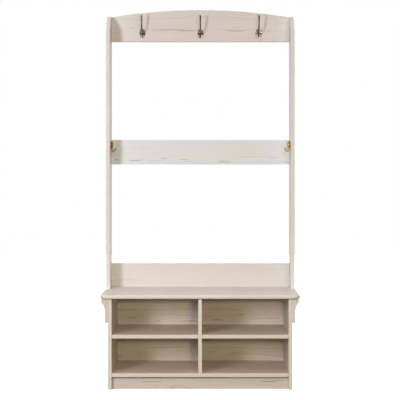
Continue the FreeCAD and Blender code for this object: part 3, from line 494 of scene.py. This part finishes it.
RING_SIDES = 28
VOXEL = 0.00055
TURNS = [2 * math.pi * i / RING_SIDES for i in range(RING_SIDES)]
SIDEWAYS = Vector((1.0, 0.0, 0.0))


def ring(bm, centre, first, second, radius):
    """A ring of vertices about centre in the plane of two unit vectors."""
    spokes = [first * math.cos(a) + second * math.sin(a) for a in TURNS]
    return [bm.verts.new(centre + spoke * radius) for spoke in spokes]


def skin(bm, rings):
    """Faces between neighbouring rings, and caps on the first and the last."""
    for lower, upper in zip(rings, rings[1:]):
        for i in range(RING_SIDES):
            after = (i + 1) % RING_SIDES
            bm.faces.new((lower[i], lower[after], upper[after], upper[i]))
    bm.faces.new(list(reversed(rings[0])))
    bm.faces.new(rings[-1])


def bent_line(start, elbow, tip, radius, steps=14):
    """Points (v, w) of a line that runs straight, round one bend and straight to its tip."""
    first, second, last = Vector(start), Vector(elbow), Vector(tip)
    along = (second - first).normalized()
    across = Vector((-along.y, along.x))
    if across.dot(last - second) < 0:
        across = -across
    centre = second + across * radius
    to_tip = last - centre
    lean = math.atan2(to_tip.dot(along), -to_tip.dot(across))
    turn = lean - math.acos(radius / to_tip.length)
    points = [first.lerp(second, i / steps) for i in range(steps)]
    for i in range(steps + 1):
        angle = turn * i / steps
        points.append(centre + (along * math.sin(angle) - across * math.cos(angle)) * radius)
    bend_end = points[-1]
    points += [bend_end.lerp(last, i / steps) for i in range(1, steps + 1)]
    return points


def limb(bm, line, root, waist, tip):
    """A round arm along (v, w) points that flares to its root and its tip."""
    lengths = [0.0]
    for before, after in zip(line, line[1:]):
        lengths.append(lengths[-1] + (after - before).length)
    rings = []
    for i, point in enumerate(line):
        share = lengths[i] / lengths[-1]
        ahead = line[min(i + 1, len(line) - 1)] - line[max(i - 1, 0)]
        ahead.normalize()
        side = Vector((0.0, -ahead.y, ahead.x))
        flare = (root - waist) * (1 - share) ** 6 + (tip - waist) * share ** 4
        place = Vector((0.0, point.x, point.y))
        rings.append(ring(bm, place, SIDEWAYS, side, waist + flare))
    skin(bm, rings)


def ellipsoid(bm, centre, half_spans):
    """A closed ellipsoid with a half span for each axis."""
    made = bmesh.ops.create_uvsphere(bm, u_segments=32, v_segments=20, radius=1.0)
    for vert in made["verts"]:
        vert.co = Vector(centre) + Vector(a * b for a, b in zip(vert.co, half_spans))


def ball(bm, line, radius):
    """The ball on the tip of an arm."""
    ellipsoid(bm, (0.0, line[-1].x, line[-1].y), (radius, radius, radius))


def collar(bm, line, distance_back, radius, half_width):
    """A raised ring round an arm, a distance before its tip."""
    tip, before = line[-1], line[-2]
    back = (before - tip).normalized()
    centre = tip + back * distance_back
    axis = Vector((0.0, back.x, back.y))
    side = Vector((0.0, -back.y, back.x))
    rings = []
    for step in range(7):
        swing = math.pi * (step / 6 - 0.5)
        at = Vector((0.0, centre.x, centre.y)) + axis * half_width * math.sin(swing)
        swollen = radius * (0.55 + 0.45 * math.cos(swing))
        rings.append(ring(bm, at, SIDEWAYS, side, swollen))
    skin(bm, rings)


def oval_plate(bm, half_wide, half_tall, thick, rim):
    """An oval plate with a rounded rim and a fine sunk line inside it."""
    groove = rim * 1.25
    profile = [(0.0, 0.0), (0.0, thick - rim)]
    for step in range(1, 7):
        angle = math.pi / 2 * step / 6
        profile.append((rim * (1 - math.cos(angle)), thick - rim + rim * math.sin(angle)))
    profile += [(groove, thick - rim * 0.05), (groove + 0.0004, thick - rim * 0.22),
                (groove + 0.0008, thick - rim * 0.05), (groove + 0.0010, thick)]
    rings = []
    for inward, out in profile:
        wide, tall = half_wide - inward, half_tall - inward
        rings.append([bm.verts.new((wide * math.cos(a), out, -tall * math.sin(a))) for a in TURNS])
    skin(bm, rings)


def cast(name, bm, to_frame, slot, replaced):
    bmesh.ops.recalc_face_normals(bm, faces=bm.faces)
    rough = bpy.data.meshes.new(name + "_shells")
    bm.to_mesh(rough)
    bm.free()
    rough_piece = bpy.data.objects.new(name + "_shells", rough)
    bpy.context.scene.collection.objects.link(rough_piece)
    remesh = rough_piece.modifiers.new("melt", "REMESH")
    remesh.mode = "VOXEL"
    remesh.voxel_size = VOXEL
    smooth = rough_piece.modifiers.new("soften", "SMOOTH")
    smooth.factor = 0.5
    smooth.iterations = 5
    graph = bpy.context.evaluated_depsgraph_get()
    mesh = bpy.data.meshes.new_from_object(rough_piece.evaluated_get(graph))
    bpy.data.objects.remove(rough_piece)
    mesh.name = name
    for vert in mesh.vertices:
        vert.co = to_frame(vert.co)
    mesh.flip_normals()
    mesh.shade_smooth()
    mesh.materials.clear()
    mesh.materials.append(finishes[slot])
    piece = bpy.data.objects.new(name, mesh)
    bpy.context.scene.collection.objects.link(piece)
    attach(piece, "root")
    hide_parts(replaced)


HOOK_ROOT = 0.001

# coat hook: half spans as sideways, outwards, upwards, and points as outwards, upwards
PLATE_HALF_WIDE = 0.015
PLATE_HALF_TALL = 0.0225
PLATE_THICK = 0.004
PLATE_RIM = 0.002
PLATE_MIDDLE = 0.0265  # above the bottom of the hook's box
HUB_HALF_SPANS = (0.0056, 0.0036, 0.0150)
ARM_LEVEL = 0.007
ARM_ELBOW = 0.015
ARM_TIP = (0.062, 0.079)
ARM_BEND = 0.038
ARM_RADII = (0.0056, 0.0031, 0.0037)  # root, waist, tip
COLLAR = (0.0075, 0.0046, 0.0012)  # distance before the tip, radius, half width
PRONG_LEVEL = -0.013
PRONG_ELBOW = 0.012
PRONG_TIP = (0.025, 0.001)
PRONG_BEND = 0.012
PRONG_RADII = (0.0052, 0.0032, 0.0036)
BALL_RADIUS = 0.0046

# side hook
SIDE_PLATE_HALF_WIDE = 0.015
SIDE_PLATE_HALF_TALL = 0.020
SIDE_PLATE_THICK = 0.003
SIDE_PLATE_RIM = 0.0015
SIDE_BODY_CENTRE = (0.0, 0.00675, 0.0025)
SIDE_BODY_HALF_SPANS = (0.0055, 0.00575, 0.017)
STEM_OUT = 0.0078
STEM_FOOT = -0.0325
STEM_TIP = (0.0245, -0.018)
STEM_BEND = 0.0040
STEM_RADII = (0.0040, 0.0030, 0.0034)
SIDE_BALL_RADIUS = 0.0042


def make_coat_hook(side):
    """A cast coat hook: oval plate with a hub, long upper arm, short lower prong, ball tips."""
    low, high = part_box(f"coat_hook_{side}")
    middle = Vector(((low.x + high.x) / 2, high.y, low.z + PLATE_MIDDLE))
    bm = bmesh.new()
    oval_plate(bm, PLATE_HALF_WIDE, PLATE_HALF_TALL, PLATE_THICK, PLATE_RIM)
    ellipsoid(bm, (0.0, PLATE_THICK, 0.0), HUB_HALF_SPANS)
    arm = bent_line((HOOK_ROOT, ARM_LEVEL), (ARM_ELBOW, ARM_LEVEL), ARM_TIP, ARM_BEND)
    limb(bm, arm, *ARM_RADII)
    collar(bm, arm, *COLLAR)
    ball(bm, arm, BALL_RADIUS)
    prong = bent_line((HOOK_ROOT, PRONG_LEVEL), (PRONG_ELBOW, PRONG_LEVEL), PRONG_TIP, PRONG_BEND)
    limb(bm, prong, *PRONG_RADII)
    ball(bm, prong, BALL_RADIUS)

    def to_frame(at):
        return middle + Vector((at.x, -at.y, at.z))

    cast(f"cast_coat_hook_{side}", bm, to_frame, "dark_nickel", f"coat_hook_{side}")


def make_side_hook(side):
    """A single brass hook: small oval plate, rounded body, prong that turns up to a ball."""
    low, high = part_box(f"side_hook_{side}")
    inward = 1.0 if side == "left" else -1.0
    face = low.x if side == "left" else high.x
    middle = Vector((face, (low.y + high.y) / 2, high.z - SIDE_PLATE_HALF_TALL))
    bm = bmesh.new()
    oval_plate(bm, SIDE_PLATE_HALF_WIDE, SIDE_PLATE_HALF_TALL, SIDE_PLATE_THICK, SIDE_PLATE_RIM)
    ellipsoid(bm, SIDE_BODY_CENTRE, SIDE_BODY_HALF_SPANS)
    stem = bent_line((STEM_OUT, 0.0), (STEM_OUT, STEM_FOOT), STEM_TIP, STEM_BEND)
    limb(bm, stem, *STEM_RADII)
    ball(bm, stem, SIDE_BALL_RADIUS)

    def to_frame(at):
        return middle + Vector((at.y * inward, at.x * inward, at.z))

    cast(f"cast_side_hook_{side}", bm, to_frame, "polished_brass", f"side_hook_{side}")


for side in ("left", "center", "right"):
    make_coat_hook(side)
for side in ("left", "right"):
    make_side_hook(side)


# ---------------------------------------------------------- floor, light, camera

# The fill of the room: the direction it is strongest from, and its colour times its strength.
FILL = [
    ((0.0, -0.78, 0.62), (0.35, 0.25, 0.14)),
    ((0.75, -0.45, 0.48), (0.20, 0.15, 0.09)),
    ((-0.75, -0.45, 0.48), (0.08, 0.05, 0.03)),
    ((0.0, 0.0, 1.0), (0.56, 0.58, 0.56)),
    ((0.60, 0.80, 0.0), (1.06, 1.03, 1.01)),
    ((-0.60, 0.80, 0.0), (0.92, 0.88, 0.82)),
]


LAMP_TARGET = (0.0, 0.0, 0.95)
LAMPS = [  # name, place, width, height, power in watts, colour
    ("key", (-2.0, -3.4, 1.31), 0.69, 0.78, 48.0, (0.92, 0.905, 1.0)),
    ("key_high", (-2.0, -3.4, 2.05), 0.69, 0.90, 17.0, (0.92, 0.905, 1.0)),
    ("second", (0.47, -4.2, 1.05), 0.26, 0.20, 36.0, (0.94, 0.85, 0.61)),
    ("high", (1.15, -4.2, 2.2), 0.40, 0.40, 23.0, (0.83, 0.885, 0.97)),
]
FLOOR_REACH = 8.0
FLOOR_GREY = 0.85
FLOOR_GLOW = 0.9
CAMERA_ASIDE = 0.026
CAMERA_HEIGHT = 1.052
CAMERA_DISTANCE = 5.403
CAMERA_SPAN = 1.870  # width seen at the front of the object
SENSOR_WIDTH = 36.0
CAMERA_SHIFT = (-0.0141, -0.0866)
DISPLAY_GAMMA = 0.8


def area_light(name, place, wide, tall, power, colour):
    """A soft box at a place, turned towards the middle of the object."""
    data = bpy.data.lights.new(name, "AREA")
    data.shape = "RECTANGLE"
    data.size = wide
    data.size_y = tall
    data.energy = power
    data.color = colour
    lamp = bpy.data.objects.new(name, data)
    lamp.location = place
    towards = Vector(LAMP_TARGET) - Vector(place)
    lamp.rotation_euler = towards.to_track_quat("-Z", "Y").to_euler()
    lamp.visible_camera = False
    bpy.context.scene.collection.objects.link(lamp)


def make_floor():
    """A large plain floor that glows softly, as a product table lit from below does."""
    corners = [(FLOOR_REACH * x, FLOOR_REACH * y, 0.0) for x, y in ((-1, -1), (1, -1), (1, 1), (-1, 1))]
    mesh = bpy.data.meshes.new("floor")
    mesh.from_pydata(corners, [], [(0, 1, 2, 3)])
    material, _, shader, _ = new_material("pale_floor")
    shader.inputs["Base Color"].default_value = (FLOOR_GREY, FLOOR_GREY, FLOOR_GREY, 1.0)
    shader.inputs["Roughness"].default_value = 0.9
    shader.inputs["Emission Color"].default_value = (1.0, 1.0, 1.0, 1.0)
    shader.inputs["Emission Strength"].default_value = FLOOR_GLOW
    mesh.materials.append(material)
    floor = bpy.data.objects.new("floor", mesh)
    floor.visible_diffuse = False
    floor.visible_glossy = False
    bpy.context.scene.collection.objects.link(floor)


def make_world():
    """A white backdrop for the camera, and a soft fill that grows towards given sides."""
    world = bpy.data.worlds.new("studio")
    world.use_nodes = True
    tree = world.node_tree
    tree.nodes.clear()
    looking = add(tree, "TexCoord").outputs["Generated"]
    light = (0.0, 0.0, 0.0)
    for direction, colour in FILL:
        facing = maths(tree, "MAXIMUM", vectors(tree, "DOT_PRODUCT", looking, direction), 0.0)
        square = all_axes(tree, maths(tree, "MULTIPLY", facing, facing))
        light = vectors(tree, "MULTIPLY_ADD", square, colour, light)
    seen = add(tree, "LightPath").outputs["Is Camera Ray"]
    fill = add(tree, "Background", {"Color": light, "Strength": 1.0}).outputs[0]
    white = add(tree, "Background", {"Color": (1.0, 1.0, 1.0, 1.0), "Strength": 1.0}).outputs[0]
    both = add(tree, "MixShader", {0: seen, 1: fill, 2: white}).outputs[0]
    add(tree, "OutputWorld", {"Surface": both})
    bpy.context.scene.world = world


def make_camera():
    """A long lens at standing height, square to the front and a little off its middle."""
    data = bpy.data.cameras.new("camera")
    data.sensor_width = SENSOR_WIDTH
    data.lens = SENSOR_WIDTH * CAMERA_DISTANCE / CAMERA_SPAN
    data.shift_x, data.shift_y = CAMERA_SHIFT
    front = cad_box[0].y
    camera = bpy.data.objects.new("camera", data)
    camera.location = (CAMERA_ASIDE, front - CAMERA_DISTANCE, CAMERA_HEIGHT)
    camera.rotation_euler = (math.radians(90.0), 0.0, 0.0)
    bpy.context.scene.collection.objects.link(camera)
    bpy.context.scene.camera = camera


make_floor()
make_world()
for name, place, wide, tall, power, colour in LAMPS:
    area_light(name, place, wide, tall, power, colour)
make_camera()
view = bpy.context.scene.view_settings
view.view_transform = "Standard"
view.gamma = DISPLAY_GAMMA
